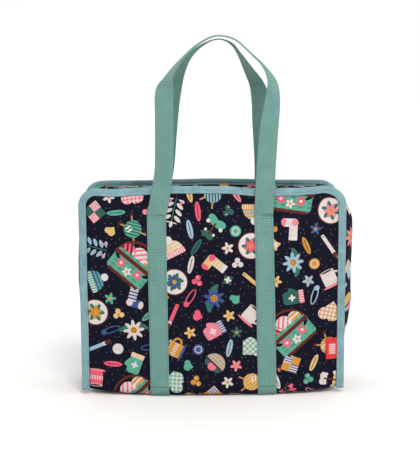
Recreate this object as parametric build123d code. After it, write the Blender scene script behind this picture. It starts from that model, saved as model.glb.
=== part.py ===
from build123d import *

import os
from math import ceil, cos, floor, pi, sin, sqrt

# A soft box bag for handwork: printed cloth panels on padding, bound outer seams, a zip in
# the top, and two handles of webbing that is sewn up each face and free above the fold line.
# Millimetres. The bag stands on z = 0, its front faces -Y, and the zip runs along X.

os.makedirs("parts", exist_ok=True)

# The filled bag
seam_half_width = 200.0  # side seam from the middle, at the top
seam_taper = 1.0  # how much nearer to the middle the side seam is at the foot
seam_half_depth = 55.0  # front and back seam planes from the middle
seam_top = 322.0
corner_radius = 18.0  # top corners of the front and back
corner_lift = 6.0  # how far the bottom corners ride above the middle of the base
lift_start = 112.0  # where the base starts to rise, from the middle
front_bulge = 20.0
front_bulge_top = 0.08  # share of the bulge that is left at the top seam
bulge_fullness = 0.85
bulge_reach_up = 8.0  # the bulge starts to grow this far above the top seam
bulge_grown = 95.0  # and is fully grown this far below it
panel_row_count = 8  # spans of the smooth curve down the panel
panel_column_count = 16  # strips across the panel
side_bulge = 26.0
fold_radius = 11.0  # front and back turning under the base
under_reach = 43.0  # turned-under edge of the front and back, from the middle

# The layers of the wall
clearance = 0.3  # between pieces that lie on each other
cloth = 1.2
padding = 2.6
board = 3.0
lining = 0.8
padding_margin = 4.0  # padding is cut smaller than the panel by this much
lining_margin = 5.5
gusset_lining_margin = 6.0
board_margin = 12.0  # the base board stops this far short of the side seams
board_side_margin = 2.0

# The binding tape, folded over the seam allowances
binding_width = 12.0
binding_thickness = 3.2
binding_rounding = 1.4
binding_bite = 1.0  # the tape's inner edge lies this far inside the seam
binding_forward = 0.5  # the tape's middle lies this far outside the seam plane
binding_foot = 8.0  # height of the tape's lower ends

# The webbing
strap_width = 30.0
strap_thickness = 1.8
strap_left = -85.0  # middle of the left strap at the base
strap_right = 86.0
lean_left = -3.0  # how far the sewn strap has wandered at the fold line
lean_right = -6.0
fold_line = 290.0  # height where the strap's sewing ends and the free handle starts
front_handle_rise = 278.2  # crown of the front handle above the fold line
back_handle_rise = 273.5
crown_gap = 1.6  # between the two handles where they lean on each other
handle_step_count = 2  # short straight stretches between two stations of a handle

# The opening in the top
gusset_top_run = 6.0  # the gusset runs on this far along the top past its corner
flap_half_length = 109.5  # the stretch of the strips that opens freely
strip_edge = 13.0  # folded inner edge of the strips, from the zip's middle
strip_thickness = 2.4
closed_end = 9.0  # cloth that closes the strips past each end of the zip
tape_outer_edge = 18.0
tape_thickness = 0.6
tooth_pitch = 3.0
tooth_width = 1.9
tooth_root = 4.0
tooth_tip = 0.4
coil_spine = 3.0  # inner edge of the spine that carries the teeth
tooth_height = 2.2
stop_length = 2.5
stop_margin = 3.0  # from a zip stop to the end of the slot

# The slider and its pull
slider_length = 14.0
slider_margin = 1.5  # from the parked slider to the zip stop
slider_width = 9.0
slider_plate = 1.3
slider_web = 0.4
web_length = 4.0
web_setback = 2.0  # from the slider's nose to its web
bridge_length = 9.0
bridge_width = 2.0
bridge_bar = 1.2
bridge_gap = 2.4
pull_length = 22.0
pull_width = 7.0
pull_thickness = 1.2
pull_window = 3.4  # width of the window that goes round the bridge
pull_window_end = 5.6
pull_hole_radius = 1.6
pull_hole_inset = 4.0
pull_rounding = 0.9  # rounding of the pull as a share of its half width or half thickness

# The pocket on the back lining and the tab in the right front seam
pocket_half_width = 95.0
pocket_foot = 70.0
pocket_height = 130.0
hem_height = 12.0
hem_thickness = 1.6
tab_length = 20.0
tab_height = 34.0
tab_thickness = 1.2
tab_foot = 57.0
tab_overhang = 1.0  # how far the tab reaches out over the tape

# Values that follow
base_level = strap_thickness + clearance
strip_half_length = seam_half_width - corner_radius - gusset_top_run
zip_half_length = strip_half_length - closed_end - stop_margin
slider_park = zip_half_length - stop_length - slider_margin - slider_length / 2
panel_inset = binding_bite + clearance
padding_depth = cloth + clearance
lining_depth = padding_depth + padding + clearance
pocket_depth = lining_depth + lining + clearance
binding_plane = seam_half_depth + binding_forward
binding_inner_face = binding_plane - binding_thickness / 2
gusset_half = binding_inner_face - clearance
strip_top = seam_top - clearance
strip_outer_edge = gusset_half - 3 * clearance
tape_top = strip_top - strip_thickness - clearance
zip_level = tape_top - tape_thickness / 2
plate_gap = tooth_height + 2 * clearance
slider_top = zip_level + plate_gap / 2 + slider_plate
pull_level = slider_top + bridge_gap / 2


def write(shape, name):
    export_step(shape, os.path.join("parts", name + ".step"))


def group(pieces):
    return Compound(children=list(pieces))


def to_back(shape):
    return shape.mirror(Plane.XZ)


def to_left(shape):
    return shape.mirror(Plane.YZ)


def smooth(value, low, high):
    """0 up to low, 1 from high on, and a soft step between them."""
    share = min(1.0, max(0.0, (value - low) / (high - low)))
    return share * share * (3 - 2 * share)


def spread(low, high, count):
    """count + 1 evenly spaced values."""
    return [low + (high - low) * index / count for index in range(count + 1)]


def block(x_range, y_range, z_range):
    """A box between three pairs of limits."""
    low = Vector(min(x_range), min(y_range), min(z_range))
    high = Vector(max(x_range), max(y_range), max(z_range))
    return Location((low + high) * 0.5) * Solid.make_box(*(high - low)).moved(
        Location((low - high) * 0.5)
    )


# The surface of the filled bag


def side_seam(z):
    """Half width of the front and back at a height."""
    return seam_half_width - seam_taper * (1 - z / seam_top)


def foot_level(x):
    """Underside of the base cloth."""
    risen = max(0.0, abs(x) - lift_start) / (seam_half_width - lift_start)
    return base_level + corner_lift * risen**2


def bulge(x, z):
    """How far the front stands out of its seam plane."""
    across = max(0.0, 1 - (x / side_seam(z)) ** 2) ** bulge_fullness
    grown = smooth(seam_top - z, -bulge_reach_up, bulge_grown)
    return front_bulge * across * (front_bulge_top + (1 - front_bulge_top) * grown)


def wall_face(x, depth):
    """Corner points of the front wall at x: down the panel, round the fold, under the base."""
    bend = foot_level(x) + fold_radius
    panel = [
        Vector(x, depth - seam_half_depth - bulge(x, z), z)
        for z in spread(seam_top + clearance, bend, panel_row_count)
    ]
    centre = Vector(x, fold_radius - seam_half_depth - bulge(x, bend), bend)
    reach = fold_radius - depth
    middle = centre + Vector(0, -reach * sin(pi / 4), -reach * cos(pi / 4))
    lowest = centre + Vector(0, 0, -reach)
    end = Vector(x, -under_reach, lowest.Z)
    return panel, middle, lowest, end


def wall_section(x, near, far):
    """Closed outline of one layer of the front wall, between two depths."""
    panel, middle, lowest, end = wall_face(x, near)
    inner_panel, inner_middle, inner_lowest, inner_end = wall_face(x, far)
    knots = spread(0, 1, panel_row_count)
    return Wire(
        [
            Edge.make_spline(panel, parameters=knots),
            Edge.make_three_point_arc(panel[-1], middle, lowest),
            Edge.make_line(lowest, end),
            Edge.make_line(end, inner_end),
            Edge.make_line(inner_end, inner_lowest),
            Edge.make_three_point_arc(inner_lowest, inner_middle, inner_panel[-1]),
            Edge.make_spline(list(reversed(inner_panel)), parameters=knots),
            Edge.make_line(inner_panel[0], panel[0]),
        ]
    )


def prism(points, radius=0.0):
    """An XZ outline carried through the whole depth, its two highest corners rounded."""
    face = make_face(Polyline(*points, close=True))
    if radius > 0:
        face = fillet(face.vertices().sort_by(Axis.Y)[-2:], radius)
    return extrude(Plane.XZ * face, 2 * seam_half_depth, both=True)


def front_layer(near, far, margin):
    """A full layer of the front wall, cut back from the seams by a margin."""
    reach = seam_half_width + binding_width
    sections = [wall_section(x, near, far) for x in spread(-reach, reach, panel_column_count)]
    sheet = Solid.make_loft(sections, ruled=True)
    top = side_seam(seam_top) - margin
    foot = side_seam(0) - margin
    height = seam_top - margin
    outline = [(-foot, -base_level), (foot, -base_level), (top, height), (-top, height)]
    return sheet & prism(outline, corner_radius)


def front_patch(near, far, outline):
    """A piece of a layer of the front wall inside an XZ outline."""
    xs = [point[0] for point in outline]
    width = seam_half_width + binding_width
    columns = [x for x in spread(-width, width, panel_column_count) if min(xs) < x < max(xs)]
    columns = [min(xs) - 1] + columns + [max(xs) + 1]
    sheet = Solid.make_loft([wall_section(x, near, far) for x in columns], ruled=True)
    return sheet & prism(outline)


# The front, the back and the base


def build_walls():
    panel = front_layer(0, cloth, panel_inset)
    write(panel, "front_panel")
    write(to_back(panel), "back_panel")
    pad = front_layer(padding_depth, padding_depth + padding, padding_margin)
    write(pad, "front_padding")
    write(to_back(pad), "back_padding")
    inner = front_layer(lining_depth, lining_depth + lining, lining_margin)
    write(inner, "lining_front")
    write(to_back(inner), "lining_back")


def base_layer(near, far, margin, half_depth):
    """A layer of the base, level in the middle and rising towards both ends."""
    end = side_seam(0) - margin

    def curve(depth):
        rise = [Vector(x, 0, foot_level(x) + depth) for x in spread(lift_start, end, 4)]
        level = Vector(1, 0, 0)
        right = Edge.make_spline(rise, tangents=[level, rise[-1] - rise[-2]])
        middle = Edge.make_line(Vector(-lift_start, 0, rise[0].Z), rise[0])
        return [right, middle, right.mirror(Plane.YZ)]

    low, high = curve(near), curve(far)
    corners = [Vector(end, 0, foot_level(end) + depth) for depth in (near, far)]
    left = [Vector(-corner.X, 0, corner.Z) for corner in corners]
    wire = Wire(low + high + [Edge.make_line(*corners), Edge.make_line(*left)])
    return extrude(Face(wire), half_depth, dir=(0, 1, 0), both=True)


def build_base():
    inner_reach = under_reach - clearance
    board_reach = inner_reach - board_side_margin
    write(base_layer(0, cloth, panel_inset, inner_reach), "base_panel")
    board_top = padding_depth + board
    write(base_layer(padding_depth, board_top, board_margin, board_reach), "base_board")
    lining_foot = board_top + clearance
    lining_top = lining_foot + lining
    write(base_layer(lining_foot, lining_top, lining_margin, inner_reach), "lining_base")


# The side gussets


def gusset_fill(share):
    """How full the gusset stands, from its foot at 0 to its top end at 1."""
    low = 0.12 + 0.88 * smooth(share, -0.05, 0.5)
    return low * (1 - 0.92 * smooth(share, 0.84, 1.0))


def gusset_foot():
    return foot_level(side_seam(0)) + clearance + cloth


def gusset_lengths():
    """Lengths of the gusset's path: up the side, round the corner, along the top."""
    side = seam_top - corner_radius - gusset_foot()
    top = side_seam(seam_top) - corner_radius - strip_half_length - clearance
    return side, corner_radius * pi / 2, top


def gusset_section(share, near, far, margin):
    """Cross section of a gusset layer at a share of the path's length."""
    foot = gusset_foot()
    lengths = gusset_lengths()
    run = share * sum(lengths)
    corner = Vector(side_seam(seam_top) - corner_radius, 0, seam_top - corner_radius)
    if run <= lengths[0]:
        place = Vector(side_seam(foot + run), 0, foot + run)
        outward = Vector(1, 0, 0)
    elif run <= lengths[0] + lengths[1]:
        turn = (run - lengths[0]) / corner_radius
        outward = Vector(cos(turn), 0, sin(turn))
        place = corner + outward * corner_radius
    else:
        outward = Vector(0, 0, 1)
        place = corner + outward * corner_radius
        place -= Vector(run - lengths[0] - lengths[1], 0, 0)
    rise = side_bulge * gusset_fill(share)
    arch_radius = (gusset_half**2 + rise**2) / (2 * rise)

    def arch(depth, y):
        height = sqrt((arch_radius - depth) ** 2 - y**2) - arch_radius + rise
        return place + outward * height + Vector(0, y, 0)

    half = gusset_half - margin
    outer = [arch(near, y) for y in (-half, 0, half)]
    inner = [arch(far, y) for y in (half, 0, -half)]
    return Wire(
        [
            Edge.make_three_point_arc(*outer),
            Edge.make_line(outer[2], inner[0]),
            Edge.make_three_point_arc(*inner),
            Edge.make_line(inner[2], outer[0]),
        ]
    )


def gusset_layer(near, far, margin, first):
    lengths = gusset_lengths()
    bend = lengths[0] / sum(lengths)
    turned = (lengths[0] + lengths[1]) / sum(lengths)
    stations = spread(first, bend, 12) + spread(bend, turned, 5)[1:] + [1.0]
    sections = [gusset_section(share, near, far, margin) for share in stations]
    return Solid.make_loft(sections, ruled=True)


def build_gussets():
    gusset = gusset_layer(0, cloth, 0, 0)
    write(gusset, "right_gusset")
    write(to_left(gusset), "left_gusset")
    inner = gusset_layer(padding_depth, padding_depth + lining, gusset_lining_margin, 0.03)
    write(inner, "lining_right")
    write(to_left(inner), "lining_left")


# The binding


def build_binding():
    """A flat folded tape, swept up one side seam, along the top and down the other."""
    out = binding_width / 2 - binding_bite
    foot_half = side_seam(binding_foot) + out
    top_half = side_seam(seam_top) + out
    top = seam_top + out
    path = FilletPolyline(
        (-foot_half, -binding_plane, binding_foot),
        (-top_half, -binding_plane, top),
        (top_half, -binding_plane, top),
        (foot_half, -binding_plane, binding_foot),
        radius=corner_radius + out,
    )
    section = Plane(origin=path @ 0, x_dir=(0, 1, 0), z_dir=path % 0) * RectangleRounded(
        binding_thickness, binding_width, binding_rounding
    )
    tape = sweep(section, path=path)
    write(tape, "front_binding")
    write(to_back(tape), "back_binding")


# The webbing sewn to the bag


def sewn_strap(middle, lean):
    """Strap on the front, from the fold line down and round under the base."""
    half = strap_width / 2
    outline = [
        (middle - half, -base_level),
        (middle + half, -base_level),
        (middle + half, base_level + fold_radius),
        (middle + lean + half, fold_line),
        (middle + lean - half, fold_line),
        (middle - half, base_level + fold_radius),
    ]
    return front_patch(-clearance - strap_thickness, -clearance, outline)


def build_straps():
    for side, middle, lean in (
        ("left", strap_left, lean_left),
        ("right", strap_right, lean_right),
    ):
        write(sewn_strap(middle, lean), "strap_front_" + side)
        write(to_back(sewn_strap(middle, 0)), "strap_back_" + side)
        half = strap_width / 2
        reach = under_reach - clearance
        under = block((middle - half, middle + half), (-reach, reach), (0, strap_thickness))
        write(under, "strap_base_" + side)


# The free handles: each is one length of webbing. A station gives the place of its middle
# line as three shares, of the way from the left leg to the right one, of the way from the
# crown's standoff out to the legs, and of the handle's rise, and then the direction of its
# width, for which outward is positive Y. The webbing turns from facing forward on the legs to
# standing on edge at the crown, where the two handles lean on each other.

front_handle_route = [
    ((0.04, 0.99, 0.12), (0.98, 0.05, -0.15)),
    ((0.07, 0.90, 0.245), (0.95, 0.26, 0)),
    ((0.077, 0.74, 0.395), (0.96, 0.24, 0)),
    ((0.077, 0.57, 0.545), (0.96, 0.25, 0)),
    ((0.08, 0.40, 0.685), (0.95, 0.3, 0)),
    ((0.127, 0.255, 0.775), (0.4, 0.9, -0.05)),
    ((0.256, 0.135, 0.877), (0.1, 0.99, -0.06)),
    ((0.405, 0.035, 0.956), (0.03, 0.99, -0.06)),
    ((0.571, 0, 1), (0, 0.99, -0.05)),
    ((0.745, 0.015, 0.978), (-0.03, 0.99, -0.06)),
    ((0.886, 0.08, 0.904), (-0.05, 0.99, -0.06)),
    ((1.012, 0.18, 0.829), (-0.15, 0.98, -0.05)),
    ((1.09, 0.30, 0.741), (-0.53, 0.85, 0)),
    ((1.09, 0.42, 0.64), (-0.82, 0.57, 0)),
    ((1.055, 0.62, 0.48), (-0.97, 0.2, 0)),
    ((1.027, 0.86, 0.285), (-1, 0, 0)),
    ((1.012, 0.99, 0.134), (-1, 0, 0)),
]
back_handle_route = [
    ((0.018, 0.99, 0.12), (1, 0, 0)),
    ((0.053, 0.88, 0.255), (1, 0, 0)),
    ((0.076, 0.66, 0.42), (1, 0.05, 0)),
    ((0.1, 0.475, 0.57), (0.96, 0.2, -0.1)),
    ((0.134, 0.31, 0.705), (0.85, 0.45, -0.25)),
    ((0.193, 0.19, 0.81), (0.55, 0.8, -0.25)),
    ((0.287, 0.092, 0.9), (0.2, 0.96, -0.15)),
    ((0.415, 0.022, 0.967), (0.05, 0.99, -0.05)),
    ((0.556, 0, 1), (0, 0.99, 0.02)),
    ((0.678, 0.012, 0.977), (-0.05, 0.99, -0.02)),
    ((0.76, 0.06, 0.915), (-0.1, 0.99, -0.08)),
    ((0.85, 0.16, 0.822), (-0.38, 0.9, -0.2)),
    ((0.931, 0.29, 0.734), (-0.71, 0.66, -0.22)),
    ((0.968, 0.42, 0.64), (-0.96, 0.25, -0.05)),
    ((0.978, 0.573, 0.52), (-0.99, 0.1, 0)),
    ((0.994, 0.747, 0.38), (-1, 0, 0)),
    ((1.006, 0.9, 0.235), (-1, 0, 0)),
    ((1.006, 0.99, 0.12), (-1, 0, 0)),
]


def leg_out(x):
    """Distance of the webbing's middle from the zip's plane where a handle leaves it."""
    fullest = bulge(abs(x) - strap_width / 2, fold_line)
    return seam_half_depth + fullest + clearance + strap_thickness / 2


def handle_stations(route, left, right, rise, side):
    """Places and width directions of a handle, from its left leg to its right one."""
    foot = fold_line + clearance
    standoff = strap_width / 2 + crown_gap / 2
    stations = [(Vector(left, side * leg_out(left), foot), Vector(1, 0, 0))]
    for (across, out, up), (width_x, width_y, width_z) in route:
        x = left + (right - left) * across
        y = standoff + (leg_out(left) - standoff) * out
        place = Vector(x, side * y, foot + rise * up)
        stations.append((place, Vector(width_x, side * width_y, width_z)))
    stations.append((Vector(right, side * leg_out(right), foot), Vector(-1, 0, 0)))
    return stations


def webbing(stations):
    """A flat strip between two smooth edge curves, square to its own path."""
    knots = spread(0, 1, len(stations) - 1)
    half = strap_width / 2
    edges = []
    for side in (1, -1):
        points = [place + width * (side * half) for place, width in stations]
        edges.append(Edge.make_spline(points, parameters=knots))

    def middle(share):
        ends = [edge.position_at(share, position_mode=PositionMode.PARAMETER) for edge in edges]
        return (ends[0] + ends[1]) * 0.5, (ends[0] - ends[1]).normalized()

    sections = []
    steps = handle_step_count * (len(stations) - 1)
    for share in spread(0, 1, steps):
        before = middle(max(share - 0.5 / steps, 0))[0]
        after = middle(min(share + 0.5 / steps, 1))[0]
        along = (after - before).normalized()
        if share in (0, 1):
            along = Vector(0, 0, 1 if share == 0 else -1)
        place, across = middle(share)
        across = (across - along * across.dot(along)).normalized() * half
        out = across.cross(along).normalized() * (strap_thickness / 2)
        corners = [place + across + out, place - across + out]
        corners += [place - across - out, place + across - out]
        sections.append(Wire.make_polygon(corners))
    return Solid.make_loft(sections, ruled=True)


def build_handles():
    left, right = strap_left + lean_left, strap_right + lean_right
    front = handle_stations(front_handle_route, left, right, front_handle_rise, -1)
    write(webbing(front), "front_handle")
    back = handle_stations(back_handle_route, strap_left, strap_right, back_handle_rise, 1)
    write(webbing(back), "back_handle")


# The opening in the top


def build_strips():
    """The printed strips: a free flap each side of the zip, and the two fixed ends."""
    z_range = (strip_top - strip_thickness, strip_top)
    flap_x = (-flap_half_length, flap_half_length)
    flap = block(flap_x, (-strip_outer_edge, -strip_edge), z_range)
    write(flap, "front_flap")
    write(to_back(flap), "back_flap")
    first = flap_half_length + clearance
    last = strip_half_length - closed_end
    end = block((first, strip_half_length), (-strip_outer_edge, strip_outer_edge), z_range)
    end -= block((first - 1, last), (-strip_edge, strip_edge), (z_range[0] - 1, z_range[1] + 1))
    write(end, "zip_end_right")
    write(to_left(end), "zip_end_left")


def build_tapes():
    """Woven zip tape, its outer edge under the printed strips."""
    z_range = (tape_top - tape_thickness, tape_top)
    y_range = (-tape_outer_edge, -tooth_root)
    tape = block((-flap_half_length, flap_half_length), y_range, z_range)
    write(tape, "zip_tape_front")
    write(to_back(tape), "zip_tape_back")
    first = flap_half_length + clearance
    last = strip_half_length - closed_end / 2
    end = block((first, last), y_range, z_range)
    ends = [end, to_back(end), to_left(end), to_left(to_back(end))]
    write(group(ends), "zip_tape_ends")


def tooth_row(low, high, offset):
    """One side of the moulded coil: a spine along the tape with a tooth at each pitch."""
    first = ceil((low + tooth_width / 2 - offset) / tooth_pitch)
    last = floor((high - tooth_width / 2 - offset) / tooth_pitch)
    outline = [(low, -tooth_root)]
    outline.append((low, -coil_spine))
    for index in range(first, last + 1):
        x = index * tooth_pitch + offset
        outline.append((x - tooth_width / 2, -coil_spine))
        outline.append((x - tooth_width / 2, -tooth_tip))
        outline.append((x + tooth_width / 2, -tooth_tip))
        outline.append((x + tooth_width / 2, -coil_spine))
    outline.append((high, -coil_spine))
    outline.append((high, -tooth_root))
    face = make_face(Polyline(*outline, close=True))
    return extrude(Pos(0, 0, zip_level - tooth_height / 2) * face, tooth_height)


def build_teeth():
    """The back row is half a pitch along from the front row."""
    half = tooth_pitch / 2
    reach = flap_half_length
    write(tooth_row(-reach, reach, 0), "zip_teeth_front")
    write(to_back(tooth_row(-reach, reach, half)), "zip_teeth_back")
    first = flap_half_length + clearance
    last = zip_half_length - stop_length - clearance
    ends = []
    for low, high in ((first, last), (-last, -first)):
        ends.append(tooth_row(low, high, 0))
        ends.append(to_back(tooth_row(low, high, half)))
    write(group(ends), "zip_teeth_ends")
    reach = tooth_root - clearance
    z_range = (zip_level - tooth_height / 2, zip_level + tooth_height / 2)
    stop = block((zip_half_length - stop_length, zip_half_length), (-reach, reach), z_range)
    write(group([stop, to_left(stop)]), "zip_stops")


def build_slider():
    """Two plates on a thin web that runs between the rows of teeth, and a bridge on top."""
    half = slider_width / 2
    ends = (slider_park - slider_length / 2, slider_park + slider_length / 2)
    top_foot = slider_top - slider_plate
    low_top = top_foot - plate_gap
    top = block(ends, (-half, half), (top_foot, slider_top))
    top = fillet(top.edges().filter_by(Axis.Z), half / 2)
    low = block(ends, (-half, half), (low_top - slider_plate, low_top))
    low = fillet(low.edges().filter_by(Axis.Z), half / 2)
    web_x = (ends[1] - web_setback - web_length, ends[1] - web_setback)
    web = block(web_x, (-slider_web / 2, slider_web / 2), (low_top, top_foot))
    bridge_x = (slider_park - bridge_length / 2, slider_park + bridge_length / 2)
    bridge_top = slider_top + bridge_gap + bridge_bar
    bridge_y = (-bridge_width / 2, bridge_width / 2)
    bridge = block(bridge_x, bridge_y, (slider_top, bridge_top))
    crown_edges = bridge.edges().filter_by(Axis.Y).sort_by(Axis.Z)[-2:]
    bridge = fillet(crown_edges, bridge_bar)
    window_x = (bridge_x[0] + bridge_bar, bridge_x[1] - bridge_bar)
    bridge -= block(window_x, (-bridge_width, bridge_width), (slider_top, slider_top + bridge_gap))
    write(top + low + web + bridge, "zip_slider")


def build_pull():
    """A flat pull with a bar under the bridge and a window that swings over it."""
    half = pull_width / 2
    bar = pull_thickness / 2
    z_range = (pull_level - bar, pull_level + bar)
    plate = block((slider_park - pull_length, slider_park + bar), (-half, half), z_range)
    far_edges = plate.edges().filter_by(Axis.Z).sort_by(Axis.X)[:2]
    plate = fillet(far_edges, half * pull_rounding)
    near_edges = plate.edges().filter_by(Axis.Y).sort_by(Axis.X)[-2:]
    plate = fillet(near_edges, bar * pull_rounding)
    window_x = (slider_park - pull_window_end, slider_park - bar)
    window_y = (-pull_window / 2, pull_window / 2)
    plate -= block(window_x, window_y, (z_range[0] - 1, z_range[1] + 1))
    hole_x = slider_park - pull_length + pull_hole_inset
    hole = Cylinder(pull_hole_radius, 3 * pull_thickness)
    plate -= Pos(hole_x, 0, pull_level) * hole
    write(plate, "zip_pull")


# The pocket and the tab


def build_pocket():
    """A flat pocket on the back lining, with a folded hem along its mouth."""
    half = pocket_half_width
    top = pocket_foot + pocket_height
    outline = [(-half, pocket_foot), (half, pocket_foot), (half, top), (-half, top)]
    pocket = front_patch(pocket_depth, pocket_depth + lining, outline)
    write(to_back(pocket), "inner_pocket")
    foot = top + clearance
    high = foot + hem_height
    outline = [(-half, foot), (half, foot), (half, high), (-half, high)]
    hem = front_patch(pocket_depth, pocket_depth + hem_thickness, outline)
    write(to_back(hem), "pocket_hem")


def build_tab():
    """A folded cloth tab held in the right front seam, lying over the panel and the tape."""
    middle = tab_foot + tab_height / 2
    outer = side_seam(middle) - binding_bite + tab_overhang
    inner = outer - tab_length
    tape_face = binding_plane + binding_thickness / 2
    outer_y = -tape_face - clearance
    inner_y = -seam_half_depth - bulge(inner, middle) - 2 * clearance
    corners = [
        Vector(inner, inner_y, tab_foot),
        Vector(outer, outer_y, tab_foot),
        Vector(outer, outer_y - tab_thickness, tab_foot),
        Vector(inner, inner_y - tab_thickness, tab_foot),
    ]
    face = Face(Wire.make_polygon(corners))
    write(extrude(face, tab_height, dir=(0, 0, 1)), "label_tab")


build_walls()
build_base()
build_gussets()
build_binding()
build_straps()
build_handles()
build_strips()
build_tapes()
build_teeth()
build_slider()
build_pull()
build_pocket()
build_tab()
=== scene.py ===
import math

import bmesh
import bpy
from mathutils import Matrix, Vector, noise


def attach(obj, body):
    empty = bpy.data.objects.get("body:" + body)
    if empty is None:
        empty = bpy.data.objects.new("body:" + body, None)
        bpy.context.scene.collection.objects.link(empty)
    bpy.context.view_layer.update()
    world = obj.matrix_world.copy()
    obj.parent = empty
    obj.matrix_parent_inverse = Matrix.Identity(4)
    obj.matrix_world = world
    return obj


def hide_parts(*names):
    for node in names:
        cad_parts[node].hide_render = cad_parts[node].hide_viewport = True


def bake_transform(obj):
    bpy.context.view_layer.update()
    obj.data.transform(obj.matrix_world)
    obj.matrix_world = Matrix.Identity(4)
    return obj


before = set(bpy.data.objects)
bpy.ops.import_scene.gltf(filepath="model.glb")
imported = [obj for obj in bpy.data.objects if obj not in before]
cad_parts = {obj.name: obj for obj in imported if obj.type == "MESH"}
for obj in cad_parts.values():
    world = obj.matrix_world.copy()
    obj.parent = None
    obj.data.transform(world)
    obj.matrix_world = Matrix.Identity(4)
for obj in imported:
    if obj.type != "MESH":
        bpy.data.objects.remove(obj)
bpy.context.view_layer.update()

# Camera: a long lens, a little above the bag's handles
eye = dict(place=(-0.0317, -1.8557, 0.5280), turns=(-0.878, 81.833, -0.205), lens=91.36, film=36, reach=50)

cameraData = bpy.data.cameras.new("camera")
cameraData.lens = eye["lens"]
cameraData.sensor_width = eye["film"]
cameraData.clip_end = eye["reach"]
camera = bpy.data.objects.new("camera", cameraData)
bpy.context.collection.objects.link(camera)
view = Matrix.Translation(eye["place"])
for angle, axis in zip(eye["turns"], "ZXZ"):
    view = view @ Matrix.Rotation(math.radians(angle), 4, axis)
camera.matrix_world = view
bpy.context.scene.camera = camera
bpy.context.scene.view_settings.view_transform = "Standard"
print("camera set")


# Shader tools


def tint(red, green, blue):
    # a colour as it looks in the studio's light, 0 to 255, as the shaders want it
    parts = [c / 255 for c in (red, green, blue)]
    return tuple(0.82 * (c / 12.92 if c < 0.04045 else ((c + 0.055) / 1.055) ** 2.4) for c in parts) + (1.0,)


class Strand:
    # a socket that sums can be written on
    def __init__(self, paint, socket):
        self.paint = paint
        self.socket = socket

    def sum(self, operation, *values, clamp=False):
        return self.paint.node("ShaderNodeMath", dict(operation=operation, use_clamp=clamp),
                               dict(enumerate(values)))

    def __add__(self, other):
        return self.sum("ADD", self, other)

    def __radd__(self, other):
        return self.sum("ADD", other, self)

    def __sub__(self, other):
        return self.sum("SUBTRACT", self, other)

    def __rsub__(self, other):
        return self.sum("SUBTRACT", other, self)

    def __mul__(self, other):
        return self.sum("MULTIPLY", self, other)

    def __rmul__(self, other):
        return self.sum("MULTIPLY", other, self)

    def __gt__(self, other):
        return self.sum("GREATER_THAN", self, other)

    def __lt__(self, other):
        return self.sum("LESS_THAN", self, other)

    def __mod__(self, other):
        return self.sum("FLOORED_MODULO", self, other)

    def __abs__(self):
        return self.sum("ABSOLUTE", self)

    def floor(self):
        return self.sum("FLOOR", self)

    def sine(self):
        return self.sum("SINE", self)

    def cosine(self):
        return self.sum("COSINE", self)

    def scaled(self, by, plus):
        return self.sum("MULTIPLY_ADD", self, by, plus, clamp=True)

    def join(self, other):
        return self.sum("MAXIMUM", self, other)


class Paint:
    # one material while it is being mixed
    def __init__(self, name, roughness=0.8, sheen=0.0, metallic=0.0, specular=0.3):
        self.material = bpy.data.materials.new(name)
        self.material.use_nodes = True
        self.tree = self.material.node_tree
        self.surface = self.tree.nodes["Principled BSDF"]
        fixed = {"Roughness": roughness, "Sheen Weight": sheen, "Sheen Roughness": 0.5, "Metallic": metallic,
                 "Specular IOR Level": specular}
        for key, value in fixed.items():
            self.surface.inputs[key].default_value = value

    def feed(self, socket, value):
        if isinstance(value, Strand):
            self.tree.links.new(value.socket, socket)
        else:
            socket.default_value = value

    def node(self, kind, settings=None, values=None, out=0):
        made = self.tree.nodes.new(kind)
        for key, value in (settings or {}).items():
            if key == "stops":
                ramp = made.color_ramp
                while len(ramp.elements) < len(value):
                    ramp.elements.new(1.0)
                for stop, (position, colour) in zip(ramp.elements, value):
                    stop.position, stop.color = position, colour
                ramp.interpolation = "CONSTANT"
            else:
                setattr(made, key, value)
        for key, value in (values or {}).items():
            self.feed(made.inputs[key], value)
        return Strand(self, made.outputs[out])

    def mix(self, factor, first, second):
        return self.node("ShaderNodeMix", dict(data_type="RGBA"), {0: factor, 6: first, 7: second}, out=2)

    def mixPlace(self, factor, first, second):
        return self.node("ShaderNodeMix", dict(data_type="VECTOR"), {0: factor, 4: first, 5: second}, out=1)

    def vector(self, operation, *values, out=0):
        return self.node("ShaderNodeVectorMath", dict(operation=operation), dict(enumerate(values)), out=out)

    def point(self, x, y, z=0.0):
        return self.node("ShaderNodeCombineXYZ", None, {0: x, 1: y, 2: z})

    def parts(self, place):
        split = self.node("ShaderNodeSeparateXYZ", None, {0: place})
        return [Strand(self, output) for output in split.socket.node.outputs]

    def flat(self):
        # millimetres on the cut cloth
        return self.vector("MULTIPLY", self.node("ShaderNodeUVMap", dict(uv_map="cut")), (1000, 1000, 1000))

    def solid(self):
        # millimetres in the bag's own space
        return self.vector("MULTIPLY", self.node("ShaderNodeTexCoord", out=3), (1000, 1000, 1000))

    def cloud(self, place, scale, detail=2.0, roughness=0.5):
        return self.node("ShaderNodeTexNoise", None,
                         {"Vector": place, "Scale": scale, "Detail": detail, "Roughness": roughness})

    def colour(self, value):
        self.feed(self.surface.inputs["Base Color"], value)

    def dull(self, value):
        self.feed(self.surface.inputs["Roughness"], value)

    def bump(self, height, distance, strength=1.0):
        bumped = self.node("ShaderNodeBump", None,
                           {"Height": height, "Distance": distance, "Strength": strength})
        self.feed(self.surface.inputs["Normal"], bumped)


def plainWeave(x, y, pitchX, pitchY):
    # threads that pass over and under each other, 0 to 1
    first = (x * (math.pi / pitchX)).sine()
    second = (y * (math.pi / pitchY)).sine()
    return first * second * 0.5 + 0.5


# The printed cloth: scattered knitted things, leaves and flowers on navy

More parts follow.
